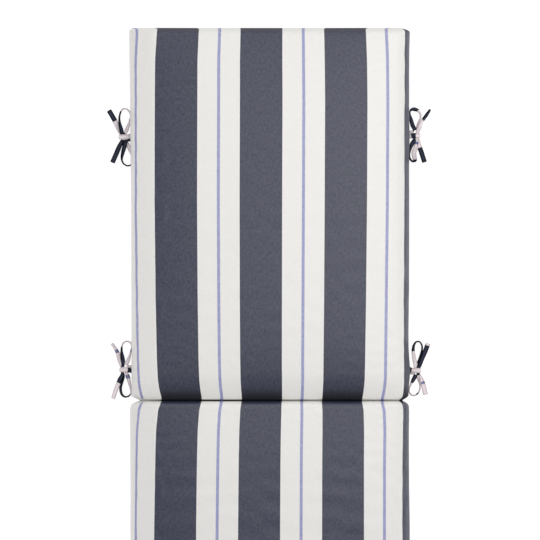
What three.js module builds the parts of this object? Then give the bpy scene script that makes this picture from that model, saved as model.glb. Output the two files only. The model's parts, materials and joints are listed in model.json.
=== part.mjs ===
// Chaise lounge cushion: one long boxed pad with a sewn fold between its back and its seat,
// and four bows of flat tie tape along the back. It lies on its back, face up.
// Millimetres. X is across, Y is along (head end at +Y), Z is up, and the underside lies at Z = 0.

import * as THREE from 'three';
import { mergeVertices } from 'three/addons/utils/BufferGeometryUtils.js';

// The pad
const LENGTH = 1930;
const BACK_LENGTH = 758;
const HEAD_Y = LENGTH / 2;
const FOOT_Y = -LENGTH / 2;
const FOLD_Y = HEAD_Y - BACK_LENGTH;
const BOTTOM_SEAM_HALF = 271.5;
const BOXING_SAG = 0.85;
const END_BULGE = 3;
const TOP_SEAM_UP = 55;
const BOTTOM_SEAM_UP = 3;
const EDGE_ROLL = 16;
const END_ROLL_REACH = 14;
const SIDE_ROLL = {
  left: { reach: 40, roundness: 1.25 },
  right: { reach: 20, roundness: 2 },
};
const CROWN = 12;
const CROWN_FLATNESS = { across: 3, along: 4 };
const UNDER_FLAT = 0.9;

// Half widths of the pad along its length: place along, top seam on the left and on the right,
// fullest of the boxing on the left and on the right
const SIDE_LINES = [
  [965, 277.4, 276.8, 286.4, 285.8],
  [920, 277.0, 275.8, 286.4, 284.4],
  [860, 276.6, 275.5, 285.4, 284.1],
  [700, 276.0, 274.9, 283.6, 284.2],
  [605, 275.8, 274.9, 282.5, 284.4],
  [534, 275.2, 274.6, 282.3, 284.4],
  [432, 274.2, 274.2, 282.3, 284.0],
  [361, 273.8, 274.4, 281.9, 282.9],
  [241, 272.0, 275.6, 281.8, 282.3],
  [208, 271.0, 275.6, 283.0, 282.6],
  [184, 271.4, 274.0, 285.0, 284.2],
  [127, 273.8, 272.2, 284.7, 283.7],
  [25, 275.0, 271.8, 283.9, 284.3],
  [-46, 275.6, 271.9, 284.0, 285.6],
  [-400, 275.4, 272.5, 283.6, 284.8],
  [-965, 276.0, 274.0, 285.0, 285.0],
];

// How the pad draws in at its ends, between the corners
const END_HOLLOW = 2.2;
const END_SQUARENESS = 24;
const END_DRAW = 40;
const CORNER_RADIUS = 5;

// The sewn fold: a thin web across the pad with a deep cleft above it and a shallow one below
const WEB_TOP_UP = 27;
const WEB_BOTTOM_UP = 21;
const CLEFT_REACH = { back: 50, seat: 16 };
const CLEFT_ROUNDNESS = 2;
const UNDER_REACH = 18;
const NOTCH = {
  left: { depth: 18, reach: 9 },
  right: { depth: 15, reach: 10 },
};
const NOTCH_ROUNDNESS = 1.15;

// How far along the boxing a tie's pull is felt
const TIE_PULL_REACH = 30;

// How finely the pad is divided
const ACROSS_STEPS = 24;
const ACROSS_PACKING = 1.35;
const BACK_STEPS = 22;
const SEAT_STEPS = 24;
const HIGH_STEPS = 6;

// The tie tape
const TAPE_WIDTH = 10.2;
const TAPE_THICKNESS = 1.6;
const TAPE_CHAMFER = 0.4;
const FLOOR_GAP = 0.35;
const SEAM_GAP = 0.3;
const ROOT_UP = 3;
const GATHERED = 6;
const TIGHT = 4.8;
const STEPS_PER_POINT = 2;

// Heights of the two tapes that pass through a knot, from the floor up
const LAYER = { lower: 3.3, upper: 5.35 };

// How far out from the knot's middle they may pass
const PASS_OUT = [-0.7, 3.4];

const lerp = THREE.MathUtils.lerp;
const clamp = THREE.MathUtils.clamp;

// Rises from 0 to 1 as a rounded shoulder over the given reach
function shoulder(distance, reach, roundness) {
  const left = 1 - clamp(distance / reach, 0, 1);
  return Math.pow(1 - Math.pow(left, roundness), 1 / roundness);
}

// Distances along one half of the pad, packed closely at both of its ends
function closeAtEnds(u) {
  return (u * u) / (u * u + (1 - u) * (1 - u));
}

function alongPad(step) {
  if (step <= SEAT_STEPS) return lerp(FOOT_Y, FOLD_Y, closeAtEnds(step / SEAT_STEPS));
  return lerp(FOLD_Y, HEAD_Y, closeAtEnds((step - SEAT_STEPS) / BACK_STEPS));
}

// Where a point along the pad lies in its own half, from -1 to 1
function placeInHalf(y) {
  const [from, to] = y < FOLD_Y ? [FOOT_Y, FOLD_Y] : [FOLD_Y, HEAD_Y];
  return (2 * (y - from)) / (to - from) - 1;
}

// Half widths of the top seam and of the fullest boxing on one side, at a place along
function sideLinesAt(y, side) {
  const after = clamp(SIDE_LINES.findIndex((row) => row[0] <= y), 1, SIDE_LINES.length - 1);
  const [high, low] = [SIDE_LINES[after - 1], SIDE_LINES[after]];
  const share = clamp((high[0] - y) / (high[0] - low[0]), 0, 1);
  const column = side > 0 ? 2 : 1;
  const seam = lerp(high[column], low[column], share);
  const full = lerp(high[column + 2], low[column + 2], share);
  return { seam, full };
}

function sideHalf(y, side, high) {
  const lines = sideLinesAt(y, side);
  const { depth, reach } = side > 0 ? NOTCH.right : NOTCH.left;
  const notch = depth * (1 - shoulder(Math.abs(y - FOLD_Y), reach, NOTCH_ROUNDNESS));
  const toEnd = Math.min(HEAD_Y - y, y - FOOT_Y);
  const corner = CORNER_RADIUS * (1 - shoulder(toEnd, CORNER_RADIUS, 2));
  let pull = 0;
  for (const bow of BOWS.filter((each) => each.side === side)) {
    pull += bow.pull * Math.exp(-Math.pow((y - bow.y) / TIE_PULL_REACH, 2));
  }
  const seam = lerp(BOTTOM_SEAM_HALF, lines.seam, high);
  const fullest = lines.full - lerp(BOTTOM_SEAM_HALF, lines.seam, Math.pow(0.5, 1 / BOXING_SAG));
  const bulge = (fullest + pull) * Math.sin(Math.PI * Math.pow(high, BOXING_SAG));
  return seam + bulge - notch - corner;
}

function topUp(across, y) {
  const fromSides = 1 - Math.pow(Math.abs(across), CROWN_FLATNESS.across);
  const fromEnds = 1 - Math.pow(placeInHalf(y), CROWN_FLATNESS.along);
  const crown = CROWN * fromSides * fromEnds;
  const toSeam = (1 - Math.abs(across)) * sideLinesAt(y, Math.sign(across)).seam;
  const toEnd = Math.min(HEAD_Y - y, y - FOOT_Y);
  const side = across > 0 ? SIDE_ROLL.right : SIDE_ROLL.left;
  const sideRoll = shoulder(toSeam, side.reach, side.roundness);
  const roll = EDGE_ROLL * sideRoll * shoulder(toEnd, END_ROLL_REACH, 2);
  const reach = y < FOLD_Y ? CLEFT_REACH.seat : CLEFT_REACH.back;
  const fullUp = TOP_SEAM_UP + roll + crown;
  return lerp(WEB_TOP_UP, fullUp, shoulder(Math.abs(y - FOLD_Y), reach, CLEFT_ROUNDNESS));
}

function bottomUp(across, y) {
  const beyond = Math.max(Math.abs(across) - UNDER_FLAT, 0) / (1 - UNDER_FLAT);
  const edge = BOTTOM_SEAM_UP * beyond * beyond;
  return lerp(WEB_BOTTOM_UP, edge, shoulder(Math.abs(y - FOLD_Y), UNDER_REACH, 2));
}

function endShift(across, high) {
  const bulge = END_BULGE * Math.sin(Math.PI * high) * (1 - Math.pow(across, END_SQUARENESS));
  return bulge - END_BULGE - END_HOLLOW * (1 - Math.pow(across, 4));
}

// A finely divided box whose points are moved to the pad's surface
function padGeometry() {
  const alongSteps = BACK_STEPS + SEAT_STEPS;
  const box = new THREE.BoxGeometry(2, 2, 2, ACROSS_STEPS, alongSteps, HIGH_STEPS);
  box.deleteAttribute('normal');
  box.deleteAttribute('uv');
  const geometry = mergeVertices(box, 1e-4);
  const points = geometry.attributes.position;
  for (let i = 0; i < points.count; i++) {
    const across = Math.sin(points.getX(i) * ACROSS_PACKING) / Math.sin(ACROSS_PACKING);
    const step = Math.round((points.getY(i) + 1) * 0.5 * alongSteps);
    const high = (points.getZ(i) + 1) / 2;
    const y = alongPad(step);
    const x = across * sideHalf(y, Math.sign(across), high);
    const z = lerp(bottomUp(across, y), topUp(across, y), high);
    const nearEnd = Math.max(1 - Math.min(HEAD_Y - y, y - FOOT_Y) / END_DRAW, 0);
    const shift = Math.sign(y) * endShift(across, high) * nearEnd * nearEnd;
    points.setXYZ(i, x, y + shift, z);
  }
  geometry.computeVertexNormals();
  return geometry;
}

// Lowest height of the tape's middle line that keeps it clear of the floor at a given lean
function restUp(lean) {
  const angle = THREE.MathUtils.degToRad(lean);
  const upright = (TAPE_WIDTH / 2) * Math.abs(Math.sin(angle));
  const level = (TAPE_THICKNESS / 2) * Math.abs(Math.cos(angle));
  return FLOOR_GAP + upright + level;
}

// Knot rows, for a bow whose wrapping tape makes the loop on the + side: out, along, up, width.
// The wrapping tape comes from the seam over the front, round the outer side, behind the knot,
// up the inner side and out under its own front. The core tape is the one that it holds.
const WRAP_ROOT_ALONG = 3.4;
const WRAP_ROOT = [
  [-19.5, 3.2, 3.2, 9.2],
  [-15.4, 2.4, 5.6, 9.2],
];
const WRAP_RING = [
  [-11.0, 1.2, 8.9, 9.6],
  [-6.0, 0.3, 9.8, 11.0],
  [0, 0, 9.9, 11.2],
  [5.4, 0, 9.5, 10.0],
  [9.2, 0, 7.0, 8.0],
  [9.3, 0, 3.8, GATHERED],
  [6.2, 0, 1.3, GATHERED],
  [0.8, 0.4, 1.15, GATHERED],
  [-4.6, 1.4, 1.3, TIGHT],
  [-7.3, 2.2, 4.3, TIGHT],
  [-4.4, 3.2, 7.1, TIGHT],
];
const CORE_ROOT_ALONG = -6;
const CORE_ROOT = [
  [-18.5, -6.0, 3.4, GATHERED],
  [-13.0, -6.2, 5.6, GATHERED],
  [-8.0, -6.8, 7.3, GATHERED],
];

// The bows: side is -1 left, 1 right; x and y place the knot; wrapLoop says which loop, 1 towards
// the head or -1 towards the foot, the wrapping tape makes; rootShift moves the sewn roots along;
// pull draws the boxing out where the tie is sewn on; coreOver says that the core tape lies over
// the wrapping one inside the knot.
// Loop and tail rows: out from the knot, along from the knot, lean (0 flat, 90 on edge), lift.
const BOWS = [
  {
    name: 'left_head',
    side: -1,
    x: 298,
    y: 743.7,
    wrapLoop: 1,
    rootShift: 0,
    pull: 0,
    coreOver: false,
    wrap: {
      loop: [
        [3.0, 8.4, 5, 6.0],
        [4.6, 15.4, 35, 4.4],
        [7.4, 27.5, 66, 1.0],
        [8.6, 38.5, 80, 0],
        [7.0, 48.0, 84, 0],
        [2.6, 56.3, 86, 0],
        [-3.5, 58.0, 88, 0],
        [-9.6, 54.6, 88, 0],
        [-13.8, 47.5, 84, 0],
        [-14.4, 39.5, 78, 0],
        [-12.6, 31.0, 66, 0],
        [-9.2, 21.8, 50, 0.6],
        [-5.6, 12.5, 8, 2.6],
      ],
      tail: [
        [4.6, -11.0, 0, 4.2],
        [9.4, -20.8, 0, 1.2],
        [15.0, -34.0, 0, 0],
        [23.0, -52.4, 0, 0],
      ],
    },
    core: {
      loop: [
        [-3.6, -10.6, 5, 5.6],
        [-1.7, -19.6, 25, 3.4],
        [1.2, -30.5, 44, 0.4],
        [3.4, -40.6, 66, 0],
        [3.0, -48.8, 84, 0],
        [-1.6, -55.6, 88, 0],
        [-8.6, -58.6, 90, 0],
        [-14.8, -56.8, 90, 0],
        [-18.2, -50.6, 92, 0],
        [-18.4, -42.6, 88, 0],
        [-16.0, -34.2, 66, 0],
        [-12.2, -24.4, 45, 0],
        [-8.2, -14.4, 10, 1.4],
      ],
      tail: [
        [6.4, 9.2, 0, 1.7],
        [11.6, 20.2, 0, 0],
        [18.6, 34.8, 0, 0],
        [30.1, 54.8, 0, 0],
      ],
    },
  },
  {
    name: 'right_head',
    side: 1,
    x: 297,
    y: 746.5,
    wrapLoop: -1,
    rootShift: 1,
    pull: 0.8,
    coreOver: false,
    wrap: {
      loop: [
        [-3.0, -9.0, 8, 5.7],
        [-7.0, -16.4, 30, 4.4],
        [-11.2, -27.6, 58, 0.4],
        [-13.0, -38.0, 70, 0],
        [-11.4, -46.6, 75, 0],
        [-4.6, -52.4, 75, 0],
        [1.6, -49.6, 66, 0.4],
        [1.8, -42.6, 38, 2.0],
        [-1.8, -34.0, 12, 2.4],
        [0.6, -24.0, 6, 1.8],
        [1.8, -14.0, 6, 3.0],
      ],
      tail: [
        [4.8, 10.0, 0, 4.8],
        [8.8, 18.6, 32, 4.6],
        [12.4, 28.1, 56, 1.2],
        [21.7, 42.8, 74, 0],
        [29.9, 56.3, 82, 0],
      ],
    },
    core: {
      loop: [
        [-2.7, 12.0, 5, 6.3],
        [-6.2, 21.6, 30, 3.2],
        [-9.2, 33.0, 45, 0.6],
        [-12.2, 44.6, 70, 0],
        [-9.6, 52.2, 110, 0],
        [-2.4, 53.8, 145, 0],
        [5.2, 51.0, 125, 0],
        [10.2, 43.6, 103, 0],
        [9.6, 35.0, 97, 0],
        [5.9, 27.0, 98, 0],
        [4.8, 19.5, 130, 0],
        [4.8, 12.4, 172, 0.9],
      ],
      tail: [
        [6.0, -11.6, 0, 0.6],
        [8.2, -22.4, 0, 0],
        [12.4, -35.0, 0, 0],
        [18.6, -54.5, 0, 0],
      ],
    },
  },
  {
    name: 'left_foot',
    side: -1,
    x: 296.6,
    y: 269.6,
    wrapLoop: -1,
    rootShift: 0,
    pull: 0,
    coreOver: true,
    wrap: {
      loop: [
        [-5.4, -9.0, 5, 5.6],
        [-8.4, -17.4, 35, 3.6],
        [-10.8, -28.0, 58, 0.6],
        [-13.2, -39.0, 76, 0],
        [-13.6, -47.6, 86, 0],
        [-9.0, -53.8, 86, 0],
        [-2.1, -55.4, 100, 0],
        [4.0, -51.6, 110, 0],
        [7.2, -43.6, 116, 0],
        [7.2, -34.0, 118, 0],
        [5.0, -23.6, 138, 0],
        [2.6, -13.0, 170, 0.6],
      ],
      tail: [
        [6.0, 9.6, 0, 1.8],
        [9.2, 19.8, 0, 0],
        [14.2, 36.0, 45, 0],
        [25.4, 53.8, 56, 0],
      ],
    },
    core: {
      loop: [
        [-4.0, 10.0, 5, 5.4],
        [-7.4, 18.0, 42, 4.0],
        [-11.0, 28.4, 68, 0.4],
        [-14.4, 39.6, 80, 0],
        [-15.6, 48.0, 86, 0],
        [-12.4, 55.4, 88, 0],
        [-5.2, 58.0, 88, 0],
        [1.6, 54.8, 86, 0],
        [4.9, 46.4, 84, 0],
        [5.2, 36.4, 68, 0],
        [3.8, 26.0, 38, 1.8],
        [2.2, 15.8, 5, 2.8],
      ],
      tail: [
        [3.8, -10.6, 0, 4.4],
        [8.2, -19.4, 15, 4.4],
        [14.2, -33.4, 25, 1.4],
        [23.1, -59.5, 35, 0],
      ],
    },
  },
  {
    name: 'right_foot',
    side: 1,
    x: 298.6,
    y: 268.0,
    wrapLoop: 1,
    rootShift: 1.2,
    pull: 3.6,
    coreOver: true,
    wrap: {
      loop: [
        [-1.8, 11.2, 10, 5.5],
        [-3.6, 20.4, 38, 3.2],
        [-5.4, 31.0, 45, 0.6],
        [-6.4, 41.8, 55, 0],
        [-5.0, 51.2, 68, 0],
        [-0.4, 58.2, 84, 0],
        [6.0, 58.8, 90, 0],
        [10.8, 53.0, 97, 0],
        [11.8, 44.0, 101, 0],
        [9.6, 34.0, 104, 0],
        [6.7, 24.0, 112, 0],
        [4.9, 14.5, 165, 0.3],
      ],
      tail: [
        [5.2, -9.6, 0, 1.6],
        [9.4, -17.6, 0, 0],
        [13.8, -28.4, 0, 0],
        [19.0, -49.8, 0, 0],
      ],
    },
    core: {
      loop: [
        [-1.8, -9.2, 5, 5.9],
        [-5.4, -17.4, 36, 3.4],
        [-10.4, -27.4, 70, 0.4],
        [-14.2, -36.6, 88, 0],
        [-13.8, -44.8, 90, 0],
        [-8.6, -50.6, 90, 0],
        [-1.0, -49.8, 90, 0],
        [5.2, -43.4, 90, 0],
        [7.8, -34.0, 88, 0],
        [6.6, -24.0, 72, 0.3],
        [4.4, -14.5, 24, 2.6],
      ],
      tail: [
        [6.9, 10.6, 10, 5.0],
        [11.7, 24.1, 30, 5.2],
        [17.8, 38.1, 10, 0.8],
        [24.4, 55.6, 0, 0],
      ],
    },
  },
];

// A point that the tape passes, with the direction across its width and how wide it is there
function tapePoint(bow, out, along, up, across, width) {
  return { at: new THREE.Vector3(bow.side * (bow.x + out), bow.y + along, up), across, width };
}

// Direction of travel at a row, seen from above
function aheadAt(bow, rows, i) {
  const [out, along] = rows[Math.min(i + 1, rows.length - 1)];
  const [lastOut, lastAlong] = rows[Math.max(i - 1, 0)];
  return new THREE.Vector2(bow.side * (out - lastOut), along - lastAlong).normalize();
}

// Rows of out, along, up and width where the tape lies flat
function flatPoints(bow, rows) {
  return rows.map(([out, along, up, width], i) => {
    const ahead = aheadAt(bow, rows, i);
    return tapePoint(bow, out, along, up, new THREE.Vector3(ahead.y, -ahead.x, 0), width);
  });
}

// Rows of out, along, lean and lift. The width is level at lean 0 and upright at 90, and the edge
// that rises is the one on the right of travel where turn is 1, or on the left where it is -1.
function leaningPoints(bow, rows, turn) {
  return rows.map(([out, along, lean, lift], i) => {
    const ahead = aheadAt(bow, rows, i);
    const angle = THREE.MathUtils.degToRad(lean) * turn;
    const level = Math.cos(angle);
    const across = new THREE.Vector3(ahead.y * level, -ahead.x * level, Math.sin(angle));
    return tapePoint(bow, out, along, restUp(lean) + lift, across, TAPE_WIDTH);
  });
}

// The outside edge of a loop rises first; the tape is gathered where the knot holds it
function loopPoints(bow, rows) {
  const places = rows.map(([out, along]) => new THREE.Vector2(bow.side * out, along));
  const area = places.reduce((sum, place, i) => sum + place.cross(places[(i + 1) % places.length]), 0);
  const points = leaningPoints(bow, rows, Math.sign(area));
  for (const end of [points[0], points.at(-1)]) end.width = (GATHERED + TAPE_WIDTH) / 2;
  return points;
}

// The edge of a tail that is nearer the pad rises
function tailPoints(bow, rows) {
  const points = leaningPoints(bow, rows, -bow.side * Math.sign(rows.at(-1)[1]));
  points[0].width = (GATHERED + TAPE_WIDTH) / 2;
  return points;
}

// The tape's way through the knot, from the end of its loop to the start of its tail
function passPoints(bow, from, to, up) {
  const rows = [1 / 3, 2 / 3].map((share) => {
    const out = clamp(lerp(from[0], to[0], share), PASS_OUT[0], PASS_OUT[1]);
    return [out, lerp(from[1], to[1], share), up, GATHERED];
  });
  return flatPoints(bow, rows);
}

// The sewn end of a tape lies against the lower seam of the boxing, then its first rows follow
function rootPoints(bow, rootAlong, rows) {
  const along = rootAlong * bow.wrapLoop + bow.rootShift;
  const high = (ROOT_UP + TAPE_THICKNESS / 2 - BOTTOM_SEAM_UP) / (TOP_SEAM_UP - BOTTOM_SEAM_UP);
  const seam = sideHalf(bow.y + along, bow.side, high) + SEAM_GAP;
  const placed = rows.map(([out, rowAlong, up, width]) =>
    [out, rowAlong * bow.wrapLoop + bow.rootShift, up, width]);
  return flatPoints(bow, [[seam - bow.x, along, ROOT_UP, rows[0][3]], ...placed]);
}

function ringPoints(bow) {
  const across = new THREE.Vector3(0, 1, 0);
  return WRAP_RING.map(([out, along, up, width]) =>
    tapePoint(bow, out, along * bow.wrapLoop, up, across, width));
}

function wrapRoute(bow) {
  const { loop, tail } = bow.wrap;
  return [
    ...rootPoints(bow, WRAP_ROOT_ALONG, WRAP_ROOT),
    ...ringPoints(bow),
    ...loopPoints(bow, loop),
    ...passPoints(bow, loop.at(-1), tail[0], bow.coreOver ? LAYER.lower : LAYER.upper),
    ...tailPoints(bow, tail),
  ];
}

function coreRoute(bow) {
  const { loop, tail } = bow.core;
  return [
    ...rootPoints(bow, CORE_ROOT_ALONG, CORE_ROOT),
    ...loopPoints(bow, loop),
    ...passPoints(bow, loop.at(-1), tail[0], bow.coreOver ? LAYER.upper : LAYER.lower),
    ...tailPoints(bow, tail),
  ];
}

// An eight-sided flat section is drawn out straight and then laid along the route
function tapeGeometry(route) {
  const half = 0.5;
  const chamferX = half - TAPE_CHAMFER / TAPE_WIDTH;
  const chamferY = half - TAPE_CHAMFER / TAPE_THICKNESS;
  const section = new THREE.Shape([
    new THREE.Vector2(half, -chamferY),
    new THREE.Vector2(half, chamferY),
    new THREE.Vector2(chamferX, half),
    new THREE.Vector2(-chamferX, half),
    new THREE.Vector2(-half, chamferY),
    new THREE.Vector2(-half, -chamferY),
    new THREE.Vector2(-chamferX, -half),
    new THREE.Vector2(chamferX, -half),
  ]);
  const intervals = route.length - 1;
  const steps = intervals * STEPS_PER_POINT;
  const straight = new THREE.ExtrudeGeometry(section, { depth: 1, steps, bevelEnabled: false });
  straight.deleteAttribute('normal');
  straight.deleteAttribute('uv');
  const geometry = mergeVertices(straight, 1e-4);
  const line = new THREE.CatmullRomCurve3(route.map((point) => point.at), false, 'centripetal');

  // one sign for the direction across, so that the tape never jumps over
  const acrossAt = route.map((point) => point.across.clone());
  for (let i = 1; i <= intervals; i++) {
    if (acrossAt[i].dot(acrossAt[i - 1]) < 0) acrossAt[i].negate();
  }

  const points = geometry.attributes.position;
  const ahead = new THREE.Vector3();
  const across = new THREE.Vector3();
  const facing = new THREE.Vector3();
  for (let i = 0; i < points.count; i++) {
    const place = points.getZ(i) * intervals;
    const index = Math.min(Math.floor(place), intervals - 1);
    const share = place - index;
    line.getTangent(place / intervals, ahead);
    across.lerpVectors(acrossAt[index], acrossAt[index + 1], share);
    across.addScaledVector(ahead, -across.dot(ahead)).normalize();
    facing.crossVectors(ahead, across);
    const width = lerp(route[index].width, route[index + 1].width, share);
    const at = line.getPoint(place / intervals);
    at.addScaledVector(across, points.getX(i) * width);
    at.addScaledVector(facing, points.getY(i) * TAPE_THICKNESS);
    points.setXYZ(i, at.x, at.y, at.z);
  }
  geometry.computeVertexNormals();
  return geometry;
}

const coverMaterial = new THREE.MeshStandardMaterial({ color: 0xe9e6e1, roughness: 0.9, metalness: 0 });
const tapeMaterial = new THREE.MeshStandardMaterial({ color: 0x4a4e5a, roughness: 0.9, metalness: 0 });

function addMesh(parent, name, geometry, material) {
  const mesh = new THREE.Mesh(geometry, material);
  mesh.name = name;
  parent.add(mesh);
}

const cushion = new THREE.Group();
addMesh(cushion, 'cushion', padGeometry(), coverMaterial);
for (const bow of BOWS) {
  addMesh(cushion, `tie_${bow.name}_wrap`, tapeGeometry(wrapRoute(bow)), tapeMaterial);
  addMesh(cushion, `tie_${bow.name}_core`, tapeGeometry(coreRoute(bow)), tapeMaterial);
}

export default cushion;
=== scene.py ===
# Chaise lounge cushion in awning stripe canvas. It lies on its back, and the photo looks straight down.
# Metres. X runs across, Y along with the head end at +Y, Z up from the floor.
import json
from math import cos, exp, floor, pi, radians, sin

import bmesh
import bpy
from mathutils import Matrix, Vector, noise

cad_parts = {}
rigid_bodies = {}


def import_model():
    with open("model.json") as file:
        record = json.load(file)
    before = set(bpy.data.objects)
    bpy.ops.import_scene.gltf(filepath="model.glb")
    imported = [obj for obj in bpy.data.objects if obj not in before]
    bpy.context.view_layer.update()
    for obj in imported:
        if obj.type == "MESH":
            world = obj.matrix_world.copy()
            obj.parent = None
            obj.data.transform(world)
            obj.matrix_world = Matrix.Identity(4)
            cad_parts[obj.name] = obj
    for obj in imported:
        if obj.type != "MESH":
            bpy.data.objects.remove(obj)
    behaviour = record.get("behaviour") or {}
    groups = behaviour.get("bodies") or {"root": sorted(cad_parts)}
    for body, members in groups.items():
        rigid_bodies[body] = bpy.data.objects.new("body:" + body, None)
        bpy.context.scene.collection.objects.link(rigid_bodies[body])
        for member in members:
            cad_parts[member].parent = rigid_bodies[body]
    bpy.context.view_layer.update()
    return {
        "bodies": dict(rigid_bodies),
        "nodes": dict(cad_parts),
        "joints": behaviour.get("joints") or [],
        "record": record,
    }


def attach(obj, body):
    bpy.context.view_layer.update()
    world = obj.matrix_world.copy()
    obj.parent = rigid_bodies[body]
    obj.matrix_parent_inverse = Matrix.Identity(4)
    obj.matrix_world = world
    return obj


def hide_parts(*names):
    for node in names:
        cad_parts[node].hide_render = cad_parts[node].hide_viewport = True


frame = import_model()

scene = bpy.context.scene
scene.view_settings.view_transform = "Standard"


# rises from 0 to 1 as a rounded shoulder
def shoulder(distance, reach, roundness=2.0):
    left = 1 - min(max(distance / reach, 0), 1)
    return (1 - left ** roundness) ** (1 / roundness)


def lerp(first, last, share):
    return first + (last - first) * share


def clamp(value, low, high):
    return min(max(value, low), high)


# reads a table of (place, value, ...) rows between its rows
def readBetween(rows, place, column=1):
    ordered = sorted(rows)
    if place <= ordered[0][0]:
        return ordered[0][column]
    for low, high in zip(ordered, ordered[1:]):
        if place <= high[0]:
            return lerp(low[column], high[column], (place - low[0]) / (high[0] - low[0]))
    return ordered[-1][column]


def addObject(name, data):
    made = bpy.data.objects.new(name, data)
    scene.collection.objects.link(made)
    return made


def meshFrom(bm, name):
    mesh = bpy.data.meshes.new(name)
    bm.to_mesh(mesh)
    bm.free()
    for face in mesh.polygons:
        face.use_smooth = True
    return mesh


# the pad; a notch is how far the fold draws the sides in, a cleft how its top sinks towards the fold
pad = {
    "head": 0.965,
    "foot": -0.965,
    "fold": 0.2075,
    "bottomSeam": 0.2715,
    "boxingSag": 0.85,
    "endBulge": 0.003,
    "endHollow": 0.0006,
    "endFullness": 60,  # powers of the place across, for the bulge and the hollow of the ends
    "hollowFullness": 4,
    "endOver": 0.0012,
    "endDraw": 0.040,
    "topSeamUp": 0.055,
    "bottomSeamUp": 0.003,
    "edgeRoll": 0.016,
    "leftRoll": (0.040, 1.25),
    "rightRoll": (0.020, 2.0),
    "endRollReach": 0.014,
    "crown": 0.012,
    "crownAcross": 3,  # powers that keep the crown full until near the seams and ends
    "crownAlong": 4,
    "underFlat": 0.9,
    "cornerLeft": 0.002,
    "cornerRight": 0.0085,
    "webTop": 0.027,
    "webBottom": 0.021,
    "cleftBack": (0.055, 1.8),
    "cleftSeat": (0.012, 2.0),
    "gapReach": 0.0014,
    "lipShare": 0.55,
    "underReach": 0.018,
    "notchLeft": (0.0200, 0.009),
    "notchRight": (0.0136, 0.0086),
    "notchRoundness": 1.15,
    "tiePullReach": 0.030,
    "seamWander": 0.0016,
    "wanderPitch": (61, 20, 30),  # along, across and up, in lumps a metre
    "seamPinch": 0.0008,
    "seamCrease": 0.8,
    "stepsAcross": 72,
    "stepsSeat": 72,
    "stepsBack": 60,
    "stepsHigh": 8,
    "closerAcross": 1.35,  # how far the steps crowd towards the seams, the ends and the fold
    "closerHigh": 1.2,
    "closerAlong": 0.86,
    "closerByFold": (0.003, 0.6),
}

# half widths of the pad along its length: place along, top seam on the left and on the right,
# fullest of the boxing on the left and on the right
sideLines = [
    (0.965, 0.2774, 0.2768, 0.2864, 0.2858),
    (0.920, 0.2770, 0.2758, 0.2864, 0.2844),
    (0.860, 0.2766, 0.2755, 0.2854, 0.2841),
    (0.700, 0.2760, 0.2749, 0.2836, 0.2842),
    (0.605, 0.2758, 0.2749, 0.2825, 0.2844),
    (0.534, 0.2752, 0.2746, 0.2823, 0.2844),
    (0.432, 0.2742, 0.2742, 0.2823, 0.2840),
    (0.361, 0.2738, 0.2744, 0.2819, 0.2829),
    (0.241, 0.2720, 0.2756, 0.2818, 0.2823),
    (0.208, 0.2710, 0.2756, 0.2830, 0.2826),
    (0.184, 0.2714, 0.2740, 0.2850, 0.2842),
    (0.127, 0.2738, 0.2722, 0.2847, 0.2837),
    (0.025, 0.2750, 0.2718, 0.2839, 0.2843),
    (-0.046, 0.2756, 0.2719, 0.2840, 0.2856),
    (-0.400, 0.2754, 0.2725, 0.2836, 0.2848),
    (-0.965, 0.2760, 0.2740, 0.2850, 0.2850),
]


def placeInHalf(y):
    low, high = (pad["foot"], pad["fold"]) if y < pad["fold"] else (pad["fold"], pad["head"])
    return 2 * (y - low) / (high - low) - 1


def sideHalf(y, side, high):
    column = 2 if side > 0 else 1
    topSeam = readBetween(sideLines, y, column)
    full = readBetween(sideLines, y, column + 2)
    depth, reach = pad["notchRight"] if side > 0 else pad["notchLeft"]
    notch = depth * (1 - shoulder(abs(y - pad["fold"]), reach, pad["notchRoundness"]))
    toEnd = min(pad["head"] - y, y - pad["foot"])
    rounding = pad["cornerRight" if side > 0 else "cornerLeft"]
    corner = rounding * (1 - shoulder(toEnd, rounding))
    pull = 0
    for bow in bows:
        if bow["side"] == side:
            pull += bow["pull"] * exp(-((y - bow["y"]) / pad["tiePullReach"]) ** 2)
    seam = lerp(pad["bottomSeam"], topSeam, high)
    fullest = full - lerp(pad["bottomSeam"], topSeam, 0.5 ** (1 / pad["boxingSag"]))
    bulge = (fullest + pull) * sin(pi * max(high, 0) ** pad["boxingSag"])
    return seam + bulge - notch - corner


def topUp(across, y):
    roundAcross = 1 - abs(across) ** pad["crownAcross"]
    crown = pad["crown"] * roundAcross * (1 - placeInHalf(y) ** pad["crownAlong"])
    toSeam = (1 - abs(across)) * readBetween(sideLines, y, 2 if across > 0 else 1)
    toEnd = min(pad["head"] - y, y - pad["foot"])
    sideRoll = shoulder(toSeam, *pad["rightRoll" if across > 0 else "leftRoll"])
    roll = pad["edgeRoll"] * sideRoll * shoulder(toEnd, pad["endRollReach"])
    full = pad["topSeamUp"] + roll + crown
    toFold = abs(y - pad["fold"])
    lip = lerp(pad["webTop"], full, pad["lipShare"])
    rise = shoulder(toFold, *pad["cleftSeat" if y < pad["fold"] else "cleftBack"])
    return lerp(pad["webTop"], lerp(lip, full, rise), shoulder(toFold, pad["gapReach"]))


def bottomUp(across, y):
    beyond = max(abs(across) - pad["underFlat"], 0) / (1 - pad["underFlat"])
    edge = pad["bottomSeamUp"] * beyond ** 2
    return lerp(pad["webBottom"], edge, shoulder(abs(y - pad["fold"]), pad["underReach"]))


# the ends draw in between the corners, less and less away from the end
def endShift(across, y, high):
    bulge = pad["endBulge"] * sin(pi * high) * (1 - across ** pad["endFullness"])
    hollow = pad["endHollow"] * (1 - across ** pad["hollowFullness"])
    drawn = bulge - pad["endBulge"] - hollow + pad["endOver"]
    nearEnd = max(1 - min(pad["head"] - y, y - pad["foot"]) / pad["endDraw"], 0)
    return drawn * nearEnd ** 2 * (1 if y > 0 else -1)


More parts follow.
